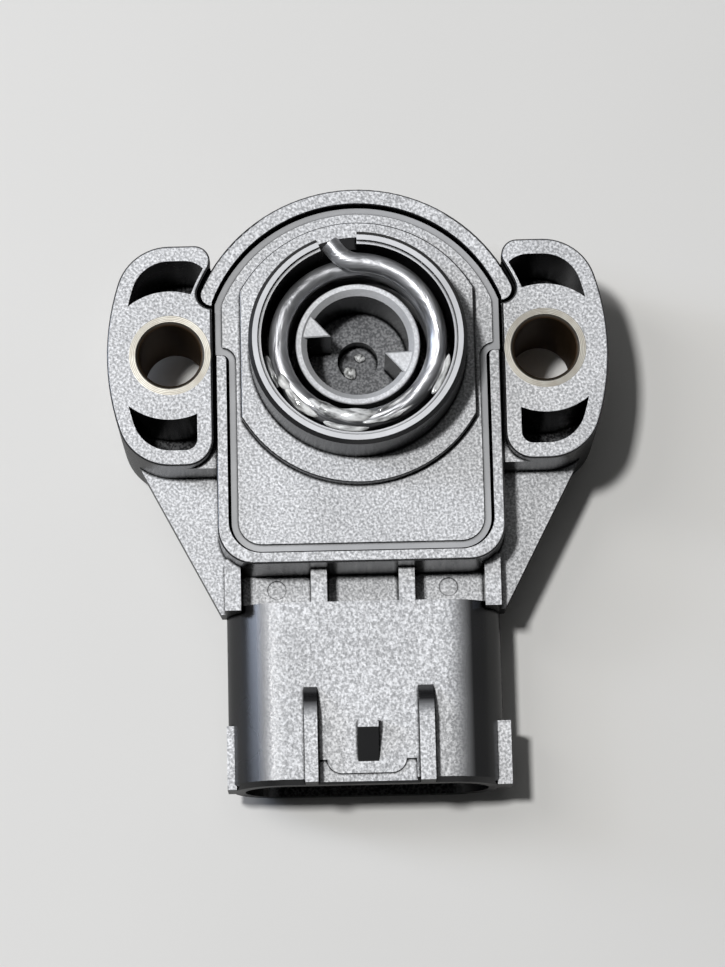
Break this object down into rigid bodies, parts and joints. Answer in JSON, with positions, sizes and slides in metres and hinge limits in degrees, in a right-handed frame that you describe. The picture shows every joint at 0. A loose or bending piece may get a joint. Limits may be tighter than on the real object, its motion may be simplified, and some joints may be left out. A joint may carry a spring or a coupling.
{
  "type": "throttle position sensor",
  "caption": "Moulded throttle position sensor with a pilot collar, bolt ears with metal sleeves, a sprung drive rotor and a keyed blade connector.",
  "frame": {"origin": "on the rotor axis in the mounting face, at the foot of the pilot collar", "axes": "+Z leaves the mounting face along the rotor axis, the connector's mouth faces -Y, the bolt holes lie along X"},
  "size_m": [0.044, 0.0527, 0.0184],
  "materials": {
    "case_plastic": "spark-eroded texture on the upper faces, smoother on the sides",
    "cover_plastic": "fine texture, smooth margin and collar",
    "sleeve_metal": "pale turned metal",
    "rotor_plastic": "fine texture, greased in the socket",
    "spring_steel": "dark drawn wire under grease",
    "board_laminate": "matte laminate",
    "contact_metal": "bright strip",
    "terminal_metal": "tin-plated"
  },
  "bodies": {
    "sensor_body": {"housing": "case_plastic", "cover": "cover_plastic", "mounting_sleeve_left": "sleeve_metal", "mounting_sleeve_right": "sleeve_metal", "return_spring": "spring_steel", "element_board": "board_laminate", "terminal_left": "terminal_metal", "terminal_middle": "terminal_metal", "terminal_right": "terminal_metal"},
    "drive_rotor": {"rotor": "rotor_plastic", "wiper_contact": "contact_metal"}
  },
  "joints": [
    {"name": "rotor_turn", "type": "hinge", "parent": "sensor_body", "child": "drive_rotor", "pos_m": [0, 0, 0], "axis": [0, 0, -1], "range_deg": [0, 100], "stiffness_Nm_per_rad": 0.01, "deforming": ["return_spring"]}
  ]
}
